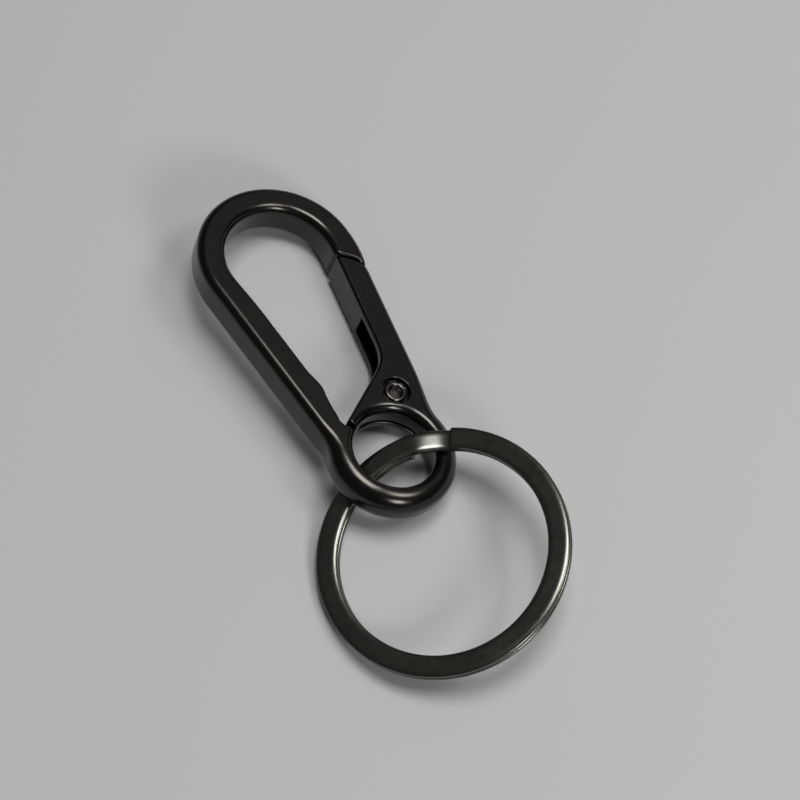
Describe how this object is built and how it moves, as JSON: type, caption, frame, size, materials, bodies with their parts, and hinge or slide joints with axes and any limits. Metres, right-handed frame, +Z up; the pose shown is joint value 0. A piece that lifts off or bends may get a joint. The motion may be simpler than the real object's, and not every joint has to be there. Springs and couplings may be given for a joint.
{
  "type": "carabiner keyring",
  "caption": "Compact snap-hook carabiner with a sprung inward-opening gate, and a flat split ring threaded through the eye at its foot.",
  "frame": {"origin": "centre of the object's footprint, on the surface it rests on", "axes": "+Y from the split ring towards the hook's bend, +X towards the gate, +Z up from the surface it rests on"},
  "size_m": [0.0342, 0.0784, 0.0123],
  "materials": {
    "frame": "satin black nickel plating on die-cast zinc",
    "gate": "satin black nickel plating on die-cast zinc",
    "pivot_rivet": "satin plated steel",
    "gate_spring": "bright drawn spring wire",
    "split_ring": "satin dark nickel plated spring steel"
  },
  "bodies": {
    "frame": {"frame": "frame", "pivot_rivet": "pivot_rivet", "gate_spring": "gate_spring"},
    "gate": {"gate": "gate"},
    "split_ring": {"split_ring": "split_ring"}
  },
  "joints": [
    {"name": "gate_hinge", "type": "hinge", "parent": "frame", "child": "gate", "pos_m": [0.0054, 0.00191, 0.004], "axis": [0.2798, -0.0257, 0.9597], "range_deg": [0, 22], "stiffness_Nm_per_rad": 0.05, "springref_deg": -20.05, "deforming": ["gate_spring"]},
    {"name": "ring_swing", "type": "hinge", "parent": "frame", "child": "split_ring", "pos_m": [0.00112, -0.00582, 0.00473], "axis": [-0.0702, -0.9936, 0.0883], "range_deg": [0, 111]}
  ]
}
